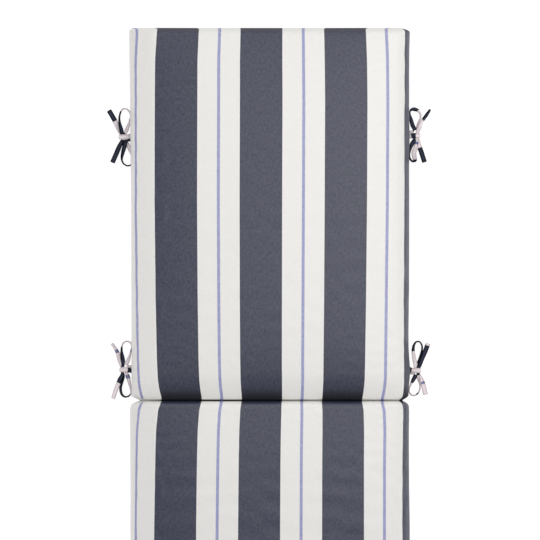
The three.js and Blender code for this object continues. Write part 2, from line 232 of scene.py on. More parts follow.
# what the photo gives: its scale at the cushion's face, and where X = 0 and the head end lie in it
photo = {
    "pixels": 540,
    "metresPerPixel": 0.002034,
    "middleColumn": 269.8,
    "headRow": 28.0,
    "distance": 20.0,
    "faceUp": 0.045,
    "sensor": 36.0,
    "farClip": 100,
}


def addCamera():
    half = photo["pixels"] / 2
    scale = photo["metresPerPixel"]
    camera = addObject("camera", bpy.data.cameras.new("camera"))
    across = (half - photo["middleColumn"]) * scale
    along = pad["head"] - (half - photo["headRow"]) * scale
    camera.location = (across, along, photo["distance"])
    camera.data.sensor_width = photo["sensor"]
    camera.data.lens = photo["sensor"] * (photo["distance"] - photo["faceUp"]) / (photo["pixels"] * scale)
    camera.data.clip_end = photo["farClip"]
    scene.camera = camera


addCamera()
print("camera set")


# tie tapes; gathered is how wide they are where the knot squeezes them
tape = {
    "width": 0.0102,
    "thickness": 0.0016,
    "flatThickness": 0.0020,
    "uprightThickness": 0.0031,
    "floorGap": 0.00035,
    "seamGap": 0.0003,
    "rootUp": 0.003,
    "gathered": 0.006,
    "layerLower": 0.0033,
    "layerUpper": 0.00535,
    "passOut": (-0.0007, 0.0034),
    "wrapRootAlong": 0.0034,
    "coreRootAlong": -0.006,
    "ringSpacing": 0.0018,
    "gatherDepth": 0.0003,
    "gatherPitch": (3.2, 90),  # in half waves across the tape, and in radians a metre along it
    "samples": 600,  # places at which a tape's route is measured
}

# where the tapes start and how one goes round the knot, for a bow whose wrapping tape makes the loop
# towards the head: out and along from the knot, up, width
wrapStart = [(-0.0195, 0.0032, 0.0032, 0.0092), (-0.0154, 0.0024, 0.0056, 0.0092)]
wrapRing = [
    (-0.0110, 0.0012, 0.0089, 0.0096), (-0.0060, 0.0003, 0.0098, 0.0110), (0, 0, 0.0099, 0.0112),
    (0.0054, 0, 0.0095, 0.0100), (0.0092, 0, 0.0070, 0.0080), (0.0093, 0, 0.0038, 0.006),
    (0.0062, 0, 0.0013, 0.006), (0.0008, 0.0004, 0.00115, 0.006), (-0.0046, 0.0014, 0.0013, 0.0048),
    (-0.0073, 0.0022, 0.0043, 0.0048), (-0.0044, 0.0032, 0.0071, 0.0048),
]
coreStart = [
    (-0.0185, -0.0060, 0.0034, 0.006), (-0.0130, -0.0062, 0.0056, 0.006), (-0.0080, -0.0068, 0.0073, 0.006),
]

# the bows: side, place of the knot, which loop the wrapping tape makes (1 towards the head);
# loop and tail rows: out and along from the knot, lean (0 flat, 90 on edge), lift;
# stripes: place along the tape in rows, and where that is across the canvas it was cut from
bows = [
    {
        "name": "left_head", "side": -1, "x": 0.298, "y": 0.7437,
        "wrapLoop": 1, "rootShift": 0, "pull": 0, "coreOver": False,
        "wrap": {
            "loop": [
                (0.003, 0.0084, 5, 0.006), (0.0046, 0.0154, 35, 0.0044), (0.0074, 0.0275, 66, 0.001),
                (0.0086, 0.0385, 80, 0), (0.007, 0.048, 84, 0), (0.0026, 0.0563, 86, 0),
                (-0.0035, 0.058, 88, 0), (-0.0096, 0.0546, 88, 0), (-0.0138, 0.0475, 84, 0),
                (-0.0144, 0.0395, 78, 0), (-0.0126, 0.031, 66, 0), (-0.0092, 0.0218, 50, 0.0006),
                (-0.0056, 0.0125, 8, 0.0026),
            ],
            "tail": [
                (0.0046, -0.011, 0, 0.0042), (0.0094, -0.0208, 0, 0.0012), (0.015, -0.034, 0, 0),
                (0.023, -0.0524, 0, 0),
            ],
            "stripes": [
                (0, -0.08), (8, -0.05), (13, -0.04), (18.5, 0.0429), (23.6, 0.0857), (26.5, 0.124),
                (28.5, 0.134), (32, 0.19),
            ],
        },
        "core": {
            "loop": [
                (-0.0036, -0.0106, 5, 0.0056), (-0.0017, -0.0196, 25, 0.0034),
                (0.0012, -0.0305, 44, 0.0004), (0.0034, -0.0406, 66, 0), (0.003, -0.0488, 84, 0),
                (-0.0016, -0.0556, 88, 0), (-0.0086, -0.0586, 90, 0), (-0.0148, -0.0568, 90, 0),
                (-0.0182, -0.0506, 92, 0), (-0.0184, -0.0426, 88, 0), (-0.016, -0.0342, 66, 0),
                (-0.0122, -0.0244, 45, 0), (-0.0082, -0.0144, 10, 0.0014),
            ],
            "tail": [
                (0.0064, 0.0092, 0, 0.0017), (0.0116, 0.0202, 0, 0), (0.0186, 0.0348, 0, 0),
                (0.0301, 0.0548, 0, 0),
            ],
            "stripes": [
                (0, -0.04), (12.5, 0.0429), (17.5, 0.0857), (20.9, 0.1286), (22, 0.15),
            ],
        },
    },
    {
        "name": "right_head", "side": 1, "x": 0.297, "y": 0.7465,
        "wrapLoop": -1, "rootShift": 0.001, "pull": 0.0008, "coreOver": False,
        "wrap": {
            "loop": [
                (-0.003, -0.009, 8, 0.0057), (-0.007, -0.0164, 30, 0.0044),
                (-0.0112, -0.0276, 58, 0.0004), (-0.013, -0.038, 70, 0), (-0.0114, -0.0466, 75, 0),
                (-0.0058, -0.0526, 75, 0), (-0.0010, -0.0502, 40, 0.0004),
                (-0.0024, -0.0426, 8, 0.002), (-0.0030, -0.034, 4, 0.0024),
                (0.0006, -0.024, 6, 0.0018), (0.0018, -0.014, 6, 0.003),
            ],
            "tail": [
                (0.0048, 0.01, 0, 0.0048), (0.0088, 0.0186, 32, 0.0046), (0.0124, 0.0281, 56, 0.0012),
                (0.0220, 0.0415, 52, 0), (0.0303, 0.0538, 74, 0),
            ],
            "stripes": [
                (0, -0.245), (3.6, -0.2143), (4.95, -0.1286), (8, -0.1), (13, -0.0429),
                (20.25, 0.0429), (23.95, 0.0857), (29.35, 0.1286), (31, 0.16),
            ],
        },
        "core": {
            "loop": [
                (-0.0027, 0.012, 5, 0.0064), (-0.0062, 0.0216, 30, 0.0032),
                (-0.0092, 0.033, 45, 0.0006), (-0.0122, 0.0446, 70, 0), (-0.0096, 0.0522, 110, 0),
                (-0.0024, 0.0538, 145, 0), (0.0052, 0.051, 125, 0), (0.0102, 0.0436, 103, 0),
                (0.0096, 0.035, 97, 0), (0.0059, 0.027, 98, 0), (0.0048, 0.0195, 130, 0),
                (0.0048, 0.0124, 172, 0.0009),
            ],
            "tail": [
                (0.006, -0.0116, 0, 0.0006), (0.0082, -0.0224, 0, 0), (0.0124, -0.035, 0, 0),
                (0.0186, -0.0545, 0, 0),
            ],
            "stripes": [
                (0, -0.07), (3.5, -0.0429), (10, 0.0429), (14.8, 0.0857), (19.2, 0.1286), (21, 0.16),
            ],
        },
    },
    {
        "name": "left_foot", "side": -1, "x": 0.2966, "y": 0.2696,
        "wrapLoop": -1, "rootShift": 0, "pull": 0, "coreOver": True,
        "wrap": {
            "loop": [
                (-0.0054, -0.009, 5, 0.0056), (-0.0084, -0.0174, 35, 0.0036),
                (-0.0108, -0.028, 58, 0.0006), (-0.0132, -0.039, 76, 0), (-0.0136, -0.0476, 86, 0),
                (-0.009, -0.0538, 86, 0), (-0.0021, -0.0554, 100, 0), (0.004, -0.0516, 110, 0),
                (0.0072, -0.0436, 116, 0), (0.0072, -0.034, 118, 0), (0.005, -0.0236, 138, 0),
                (0.0026, -0.013, 170, 0.0006),
            ],
            "tail": [
                (0.006, 0.0096, 0, 0.0018), (0.0092, 0.0198, 0, 0), (0.0142, 0.036, 45, 0),
                (0.0254, 0.0538, 56, 0),
            ],
            "stripes": [
                (0, -0.16), (3.8, -0.1286), (9, -0.105), (13.5, -0.093), (14.8, -0.0857),
                (18.4, -0.0429), (27, 0.0429), (30.15, 0.0857), (31, 0.105),
            ],
        },
        "core": {
            "loop": [
                (-0.004, 0.01, 5, 0.0054), (-0.0074, 0.018, 42, 0.004), (-0.011, 0.0284, 68, 0.0004),
                (-0.0144, 0.0396, 80, 0), (-0.0156, 0.048, 86, 0), (-0.0124, 0.0554, 88, 0),
                (-0.0052, 0.058, 88, 0), (0.0016, 0.0548, 86, 0), (0.0049, 0.0464, 84, 0),
                (0.0052, 0.0364, 68, 0), (0.0038, 0.026, 38, 0.0018), (0.0022, 0.0158, 5, 0.0028),
            ],
            "tail": [
                (0.0038, -0.0106, 0, 0.0044), (0.0082, -0.0194, 15, 0.0044),
                (0.0142, -0.0334, 25, 0.0014), (0.0231, -0.0595, 35, 0),
            ],
            "stripes": [
                (0, -0.12), (7.35, -0.0857), (11.95, -0.0429), (19.6, 0.0429), (21, 0.07),
            ],
        },
    },
    {
        "name": "right_foot", "side": 1, "x": 0.2986, "y": 0.268,
        "wrapLoop": 1, "rootShift": 0.0012, "pull": 0.0036, "coreOver": True,
        "wrap": {
            "loop": [
                (-0.0018, 0.0112, 10, 0.0055), (-0.0036, 0.0204, 38, 0.0032),
                (-0.0054, 0.031, 45, 0.0006), (-0.0064, 0.0418, 55, 0), (-0.005, 0.0512, 68, 0),
                (-0.0004, 0.0582, 84, 0), (0.006, 0.0588, 90, 0), (0.0108, 0.053, 97, 0),
                (0.0118, 0.044, 101, 0), (0.0096, 0.034, 104, 0), (0.0067, 0.024, 112, 0),
                (0.0049, 0.0145, 165, 0.0003),
            ],
            "tail": [
                (0.0052, -0.0096, 0, 0.0016), (0.0094, -0.0176, 0, 0), (0.0138, -0.0284, 0, 0),
                (0.019, -0.0498, 0, 0),
            ],
            "stripes": [
                (0, -0.16), (3.3, -0.1286), (9, -0.095), (12, -0.078), (16.8, -0.0429),
                (26.2, 0.0429), (29.8, 0.0857), (31, 0.108),
            ],
        },
        "core": {
            "loop": [
                (-0.0018, -0.0092, 5, 0.0059), (-0.0054, -0.0174, 36, 0.0034),
                (-0.0104, -0.0274, 70, 0.0004), (-0.0142, -0.0366, 88, 0), (-0.0138, -0.0448, 90, 0),
                (-0.0086, -0.0506, 90, 0), (-0.001, -0.0498, 90, 0), (0.0052, -0.0434, 90, 0),
                (0.0078, -0.034, 88, 0), (0.0066, -0.024, 72, 0.0003), (0.0044, -0.0145, 24, 0.0026),
            ],
            "tail": [
                (0.0069, 0.0106, 10, 0.005), (0.0117, 0.0241, 30, 0.0052),
                (0.0178, 0.0381, 10, 0.0008), (0.0244, 0.0556, 0, 0),
            ],
            "stripes": [
                (0, -0.075), (3.6, -0.0429), (5.7, 0.0429), (10.5, 0.0857), (14.6, 0.1286),
                (19.75, 0.2143), (20, 0.219),
            ],
        },
    },
]


def clearOfFloor(lean):
    angle = radians(lean)
    upright = tape["width"] / 2 * abs(sin(angle))
    level = tape["thickness"] / 2 * abs(cos(angle))
    return tape["floorGap"] + upright + level


def tapePoint(bow, out, along, up, across, width):
    place = Vector((bow["side"] * (bow["x"] + out), bow["y"] + along, up))
    return {"at": place, "across": across, "width": width}


def aheadAt(bow, rows, i):
    after = rows[min(i + 1, len(rows) - 1)]
    before = rows[max(i - 1, 0)]
    return Vector((bow["side"] * (after[0] - before[0]), after[1] - before[1])).normalized()


def flatPoints(bow, rows):
    points = []
    for i, (out, along, up, width) in enumerate(rows):
        ahead = aheadAt(bow, rows, i)
        points.append(tapePoint(bow, out, along, up, Vector((ahead.y, -ahead.x, 0)), width))
    return points


# turn is 1 where the edge that rises is on the right of travel, -1 where it is on the left
def leaningPoints(bow, rows, turn):
    points = []
    for i, (out, along, lean, lift) in enumerate(rows):
        ahead = aheadAt(bow, rows, i)
        angle = radians(lean) * turn
        across = Vector((ahead.y * cos(angle), -ahead.x * cos(angle), sin(angle)))
        points.append(tapePoint(bow, out, along, clearOfFloor(lean) + lift, across, tape["width"]))
    return points


def loopPoints(bow, rows):
    places = [Vector((bow["side"] * row[0], row[1])) for row in rows]
    area = sum(place.cross(places[(i + 1) % len(places)]) for i, place in enumerate(places))
    points = leaningPoints(bow, rows, 1 if area > 0 else -1)
    points[0]["width"] = points[-1]["width"] = (tape["gathered"] + tape["width"]) / 2
    return points


def tailPoints(bow, rows):
    points = leaningPoints(bow, rows, -bow["side"] * (1 if rows[-1][1] > 0 else -1))
    points[0]["width"] = (tape["gathered"] + tape["width"]) / 2
    return points


def passPoints(bow, start, end, up):
    rows = []
    for share in (1 / 3, 2 / 3):
        out = clamp(lerp(start[0], end[0], share), *tape["passOut"])
        rows.append((out, lerp(start[1], end[1], share), up, tape["gathered"]))
    return flatPoints(bow, rows)


# the sewn end starts just off the boxing's lower seam
def rootPoints(bow, rootAlong, rows):
    along = rootAlong * bow["wrapLoop"] + bow["rootShift"]
    rise = tape["rootUp"] + tape["thickness"] / 2 - pad["bottomSeamUp"]
    high = rise / (pad["topSeamUp"] - pad["bottomSeamUp"])
    seam = sideHalf(bow["y"] + along, bow["side"], high) + tape["seamGap"]
    placed = [(out, a * bow["wrapLoop"] + bow["rootShift"], up, width) for out, a, up, width in rows]
    return flatPoints(bow, [(seam - bow["x"], along, tape["rootUp"], rows[0][3])] + placed)


def ringPoints(bow):
    points = []
    for out, along, up, width in wrapRing:
        points.append(tapePoint(bow, out, along * bow["wrapLoop"], up, Vector((0, 1, 0)), width))
    return points


# from the seam to the knot, round the loop, back through the knot and out to the free end
def tieRoute(bow, kind):
    loop, tail = bow[kind]["loop"], bow[kind]["tail"]
    if kind == "wrap":
        route = rootPoints(bow, tape["wrapRootAlong"], wrapStart) + ringPoints(bow)
    else:
        route = rootPoints(bow, tape["coreRootAlong"], coreStart)
    isOver = (kind == "core") == bow["coreOver"]
    layer = tape["layerUpper"] if isOver else tape["layerLower"]
    return route + loopPoints(bow, loop) + passPoints(bow, loop[-1], tail[0], layer) + tailPoints(bow, tail)


# smooth line through the route's points; place counts in points
def lineAt(route, place):
    last = len(route) - 1
    i = min(int(floor(place)), last - 1)
    share = place - i
    p1, p2 = route[i]["at"], route[i + 1]["at"]
    p0 = route[i - 1]["at"] if i > 0 else p1 * 2 - p2
    p3 = route[i + 2]["at"] if i + 2 <= last else p2 * 2 - p1
    d0, d1, d2 = (p1 - p0).length ** 0.5, (p2 - p1).length ** 0.5, (p3 - p2).length ** 0.5
    leave = ((p1 - p0) / d0 - (p2 - p0) / (d0 + d1) + (p2 - p1) / d1) * d1
    arrive = ((p2 - p1) / d1 - (p3 - p1) / (d1 + d2) + (p3 - p2) / d2) * d1
    square = (p2 - p1) * 3 - leave * 2 - arrive
    cube = (p1 - p2) * 2 + leave + arrive
    at = p1 + leave * share + square * share ** 2 + cube * share ** 3
    ahead = leave + square * (2 * share) + cube * (3 * share ** 2)
    return at, ahead.normalized()


# half a tape's section, from one edge over its upper face to the other: across, facing
tapeSection = [(0.5, 0), (0.47, 0.4), (0.27, 0.5), (0, 0.5), (-0.27, 0.5), (-0.47, 0.4), (-0.5, 0)]


def sectionAt(turn):
    face = 1 if turn <= 0.5 else -1
    place = (turn if turn <= 0.5 else 1 - turn) * 2 * (len(tapeSection) - 1)
    i = min(int(floor(place)), len(tapeSection) - 2)
    low, high = tapeSection[i], tapeSection[i + 1]
    return lerp(low[0], high[0], place - i), face * lerp(low[1], high[1], place - i)


def tapeMesh(name, route, stripes):
    last = len(route) - 1
    acrossAt = [point["across"].copy() for point in route]
    for i in range(1, last + 1):
        if acrossAt[i].dot(acrossAt[i - 1]) < 0:
            acrossAt[i].negate()

    count = tape["samples"]
    samples = [lineAt(route, last * k / count)[0] for k in range(count + 1)]
    travelled = [0.0]
    for before, after in zip(samples, samples[1:]):
        travelled.append(travelled[-1] + (after - before).length)
    length = travelled[-1]
    rings = round(length / tape["ringSpacing"])
    turns = 2 * (len(tapeSection) - 1)

    # a flat grid is rolled into a tube along the route, then its long edges are merged
    bm = bmesh.new()
    bmesh.ops.create_grid(bm, x_segments=turns, y_segments=rings, size=0.5)
    bm.verts.ensure_lookup_table()
    cloth = bm.loops.layers.uv.new("cloth")
    along = bm.loops.layers.uv.new("tape")
    spot = {}
    for vert in bm.verts:
        turn, travel = vert.co.x + 0.5, (vert.co.y + 0.5) * length
        k = next((k for k, t in enumerate(travelled) if t >= travel - 1e-9), len(travelled) - 1)
        back = travelled[k - 1] if k else 0
        share = (travel - back) / (travelled[k] - back) if k else 0
        place = clamp(last * (max(k - 1, 0) + share) / count, 0, last)
        spot[vert.index] = (turn, travel, place)
    for face in bm.faces:
        for corner in face.loops:
            turn, travel, place = spot[corner.vert.index]
            corner[cloth].uv = (readBetween(stripes, place), turn * tape["width"] * 2)
            corner[along].uv = (turn, travel)
    for vert in bm.verts:
        turn, travel, place = spot[vert.index]
        i = min(int(floor(place)), last - 1)
        at, ahead = lineAt(route, place)
        across = acrossAt[i].lerp(acrossAt[i + 1], place - i)
        across = (across - ahead * across.dot(ahead)).normalized()
        facing = ahead.cross(across)
        width = lerp(route[i]["width"], route[i + 1]["width"], place - i)
        loose = clamp((width - tape["gathered"]) / (tape["width"] - tape["gathered"]), 0, 1)
        free = lerp(tape["flatThickness"], tape["uprightThickness"], across.z ** 2)
        thickness = lerp(tape["thickness"], free, loose)
        sideways, outwards = sectionAt(turn)
        ripple = sin(sideways * pi * tape["gatherPitch"][0] + travel * tape["gatherPitch"][1])
        bunched = (1 - loose) * tape["gatherDepth"] * ripple
        vert.co = at + across * (sideways * width) + facing * (outwards * thickness + bunched)
    bmesh.ops.remove_doubles(bm, verts=bm.verts, dist=1e-6)
    rims = [edge for edge in bm.edges if edge.is_boundary]
    bmesh.ops.holes_fill(bm, edges=rims, sides=0)
    bmesh.ops.recalc_face_normals(bm, faces=bm.faces)
    return meshFrom(bm, name), samples, length


def addTape(bow, kind):
    name = f"tie_{bow['name']}_{kind}"
    mesh, line, length = tapeMesh(name + "_tape", tieRoute(bow, kind), bow[kind]["stripes"])
    piece = addObject(name + "_tape", mesh)
    mesh.materials.append(tapeCanvas)
    smooth = piece.modifiers.new("smooth", "SUBSURF")
    smooth.levels = smooth.render_levels = 1
    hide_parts(name)
    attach(piece, "root")


# the canvas: its colours, how the stripes repeat across it, how it lies on the pad, and the shade painted
# onto it by the fold and at the head
canvas = {
    "repeat": 0.17145,
    "charcoalWide": 0.0858,
    "blueWide": 0.0061,
    "edgeSoft": 0.0003,
    "edgeWander": (0.0006, 260.0),  # how far a stripe's edge strays, and how often, in lumps a metre
    "tuckFrom": 0.19,
    "tuckReach": 0.045,
    "white": (0.795, 0.795, 0.745, 1),
    "whiteShade": (0.755, 0.75, 0.705, 1),
    "charcoal": (0.0, 0.003, 0.022, 1),
    "charcoalLight": (0.047, 0.055, 0.092, 1),
    # near-black painted in as shade above the fold and at the head, and as the shadow line along the fold
    "paintedShadeColour": (0.0, 0.0006, 0.006, 1),
    "blue": (0.225, 0.24, 0.44, 1),
    "blueLight": (0.37, 0.385, 0.58, 1),
    "threadPitch": 0.0008,
    "yarns": (("Warp", 0.0013, 0.011), ("Weft", 0.009, 0.0015), ("Slub", 0.0050, 0.0062)),
    "yarnContrast": (0.3, 0.7),
    "warpShare": 0.38,
    "weftShare": 0.28,
    "slubShare": 0.34,
    "fleckHeight": 0.5,
    "bump": (0.35, 0.00025),  # strength, distance
    "gloss": 0.7,
    "roughness": 0.42,
    "deepRoughness": 0.95,
    "foldReach": (0.003, 0.034),  # the shade above the fold fades fast here and slowly over the tail
    "foldTail": (0.03, 0.13),
    "foldTailShare": 0.16,
    "belowFold": (-0.0015, -0.0005),
    "headReach": (0.011, 0.002),  # the canvas turns down at the head, so it is in shade there too
    "headShade": 0.7,
    # the painted shadow line at the fold: how far from the fold it reaches
    "shadowLineReach": (0.0005, 0.0024),
    "shadowLineLeft": (-0.25, -0.16),  # a painted shadow line along the fold is strong between these and faint elsewhere
    "shadowLineRight": (-0.09, 0.05),
    "shadowLineStrong": 0.9,
    "shadowLineFaint": 0.08,
    "lumps": ((0.030, 0.0095, 0.3), (0.016, 0.085, 0.9), (0.016, 0.085, -0.9)),  # wide, long, slant
    "lumpDetail": 1.5,
    "puckers": 22.0,
    "puckerReach": (0.0, 0.022),
    "creases": 5.0,
    "creaseReach": (0.004, 0.055),
}

# the same canvas folded into tape, in shade along its edges and light down its middle
tapeDyesAndShades = {
    "whiteShade": (0.60, 0.515, 0.53, 1),
    "white": (0.87, 0.82, 0.815, 1),
    "charcoal": (0.001, 0.0015, 0.005, 1),
    "charcoalLight": (0.040, 0.047, 0.074, 1),
    "blue": (0.045, 0.05, 0.11, 1),
    "blueLight": (0.27, 0.28, 0.47, 1),
    "gloss": 0.05,
    "roughness": 0.6,
    "middle": (0.01, 0.16),  # from the middle of a face, in turns round the tape
    "middleLight": (0.5, 0.6),  # what the flecks add, and the light without them
    "stitchFromEdge": 0.085,  # in turns round the tape
    "stitchDepth": 1.5,
    "halfStitch": 0.00125,
    "stitchWide": (0.00018, 0.0004),
    "stitchGap": (0.00015, 0.0004),
}


def addNode(tree, kind, **values):
    made = tree.nodes.new(kind)
    for key, value in values.items():
        setattr(made, key, value)
    return made


def feed(tree, socket, value):
    if isinstance(value, bpy.types.NodeSocket):
        tree.links.new(value, socket)
    else:
        socket.default_value = value


def sums(tree, operation, first, second=0.0, third=0.0):
    made = addNode(tree, "ShaderNodeMath", operation=operation)
    for socket, value in zip(made.inputs, (first, second, third)):
        feed(tree, socket, value)
    return made.outputs[0]


# smoothly from 0 at low to 1 at high
def ramp(tree, value, low, high):
    made = addNode(tree, "ShaderNodeMapRange", interpolation_type="SMOOTHSTEP")
    feed(tree, made.inputs["Value"], value)
    made.inputs["From Min"].default_value = low
    made.inputs["From Max"].default_value = high
    return made.outputs["Result"]


# smoothly from 1 at low to 0 at high
def fall(tree, value, low, high):
    return sums(tree, "SUBTRACT", 1.0, ramp(tree, value, low, high))


# sockets 6, 7 and 2 of a Mix node are its colours
def blendColours(tree, share, first, second):
    made = addNode(tree, "ShaderNodeMix", data_type="RGBA")
    feed(tree, made.inputs["Factor"], share)
    feed(tree, made.inputs[6], first)
    feed(tree, made.inputs[7], second)
    return made.outputs[2]


def newGroup(name, inputs, outputs):
    group = bpy.data.node_groups.new(name, "ShaderNodeTree")
    for socket in inputs:
        group.interface.new_socket(socket, in_out="INPUT", socket_type="NodeSocketFloat")
    for socket in outputs:
        group.interface.new_socket(socket, in_out="OUTPUT", socket_type="NodeSocketFloat")
    start = addNode(group, "NodeGroupInput")
    end = addNode(group, "NodeGroupOutput")
    return group, start.outputs, end.inputs


# soft noise; across and along count in lumps
def lumpsAt(tree, across, along, detail=2.0):
    spot = addNode(tree, "ShaderNodeCombineXYZ")
    feed(tree, spot.inputs[0], across)
    feed(tree, spot.inputs[1], along)
    lumps = addNode(tree, "ShaderNodeTexNoise")
    lumps.inputs["Scale"].default_value = 1
    lumps.inputs["Detail"].default_value = detail
    feed(tree, lumps.inputs["Vector"], spot.outputs[0])
    return lumps.outputs["Fac"]


# which stripe a place across the canvas is in
def stripeGroup():
    group, given, out = newGroup("awningStripes", ["Across", "Along"], ["Charcoal", "Blue"])
    strays, pitch = canvas["edgeWander"]
    wander = lumpsAt(group, sums(group, "MULTIPLY", given["Along"], pitch), 0.0)
    shifted = sums(group, "MULTIPLY_ADD", wander, strays, given["Across"])
    fromCharcoal = sums(group, "PINGPONG", shifted, canvas["repeat"] / 2)
    soft = canvas["edgeSoft"]
    half = canvas["charcoalWide"] / 2
    blueFrom = canvas["repeat"] / 2 - canvas["blueWide"] / 2
    feed(group, out["Charcoal"], fall(group, fromCharcoal, half - soft, half + soft))
    feed(group, out["Blue"], ramp(group, fromCharcoal, blueFrom - soft, blueFrom + soft))
    return group


# yarns: streaks along the warp and across it, and the rise and fall of a plain weave
def weaveGroup():
    group, given, out = newGroup("plainWeave", ["Across", "Along"], ["Warp", "Weft", "Slub", "Height"])
    for name, wide, long in canvas["yarns"]:
        across = sums(group, "DIVIDE", given["Across"], wide)
        yarn = lumpsAt(group, across, sums(group, "DIVIDE", given["Along"], long))
        feed(group, out[name], ramp(group, yarn, *canvas["yarnContrast"]))
    turn = pi / canvas["threadPitch"]
    over = sums(group, "SINE", sums(group, "MULTIPLY", given["Across"], turn))
    under = sums(group, "SINE", sums(group, "MULTIPLY", given["Along"], turn))
    feed(group, out["Height"], sums(group, "MULTIPLY_ADD", sums(group, "MULTIPLY", over, under), 0.5, 0.5))
    return group


# a row of stitches along one edge of a tape
def stitchGroup():
    group, given, out = newGroup("stitchRow", ["Aside", "Along"], ["Stitch"])
    inRow = fall(group, sums(group, "ABSOLUTE", given["Aside"]), *tapeDyesAndShades["stitchWide"])
    dash = sums(group, "PINGPONG", given["Along"], tapeDyesAndShades["halfStitch"])
    feed(group, out["Stitch"], sums(group, "MULTIPLY", inRow, ramp(group, dash, *tapeDyesAndShades["stitchGap"])))
    return group


# Height: puckers beside the side seams and slanting creases above and below the fold.
# Open: 0 where shade is painted onto the charcoal, above the fold and at the head. The third output: where
# a painted shadow line runs along the fold.
def rumpleAndShadeGroup():
    group, given, out = newGroup("rumplesAndShade", ["Away", "Across", "Along"], ["Height", "Open", "ShadowLine"])
    lumps = []
    for wide, long, slant in canvas["lumps"]:
        turned = sums(group, "MULTIPLY_ADD", given["Along"], slant, given["Across"])
        across = sums(group, "DIVIDE", turned, wide)
        along = sums(group, "DIVIDE", given["Along"], long)
        lumps.append(lumpsAt(group, across, along, canvas["lumpDetail"]))
    fromFold = sums(group, "SUBTRACT", given["Along"], pad["fold"])
    toFold = sums(group, "ABSOLUTE", fromFold)
    bySeam = fall(group, given["Away"], *canvas["puckerReach"])
    byFold = fall(group, toFold, *canvas["creaseReach"])
    slanting = sums(group, "MAXIMUM", lumps[1], lumps[2])
    puckered = sums(group, "MULTIPLY", sums(group, "MULTIPLY", bySeam, lumps[0]), canvas["puckers"])
    creased = sums(group, "MULTIPLY", sums(group, "MULTIPLY", byFold, slanting), canvas["creases"])
    feed(group, out["Height"], sums(group, "ADD", puckered, creased))

    # painted shade above the fold and at the head end
    tailShare = canvas["foldTailShare"]
    tail = sums(group, "MULTIPLY", ramp(group, fromFold, *canvas["foldTail"]), tailShare)
    above = sums(group, "MULTIPLY_ADD", ramp(group, fromFold, *canvas["foldReach"]), 1 - tailShare, tail)
    unshaded = sums(group, "MAXIMUM", fall(group, fromFold, *canvas["belowFold"]), above)
    start, full = canvas["headReach"]
    atHead = ramp(group, given["Along"], pad["head"] - start, pad["head"] - full)
    feed(group, out["Open"], sums(group, "MULTIPLY_ADD", atHead, -canvas["headShade"], unshaded))

    # a painted shadow line along the fold, strong between two places across and faint elsewhere
    toLeft = ramp(group, given["Across"], *canvas["shadowLineLeft"])
    toRight = fall(group, given["Across"], *canvas["shadowLineRight"])
    between = sums(group, "MULTIPLY", toLeft, toRight)
    shows = sums(group, "MULTIPLY_ADD", between, canvas["shadowLineStrong"], canvas["shadowLineFaint"])
    feed(group, out["ShadowLine"], sums(group, "MULTIPLY", fall(group, toFold, *canvas["shadowLineReach"]), shows))
    return group


# a folded tape is darker along its edges, which is where it turns away from the light
def tapeShade(tree, flecks, spot):
    folded = sums(tree, "PINGPONG", spot, 0.5)
    fromMiddle = sums(tree, "ABSOLUTE", sums(tree, "SUBTRACT", folded, 0.25))
    middle = fall(tree, fromMiddle, *tapeDyesAndShades["middle"])
    flecked = sums(tree, "MULTIPLY_ADD", flecks, *tapeDyesAndShades["middleLight"])
    return sums(tree, "MULTIPLY", middle, flecked), folded
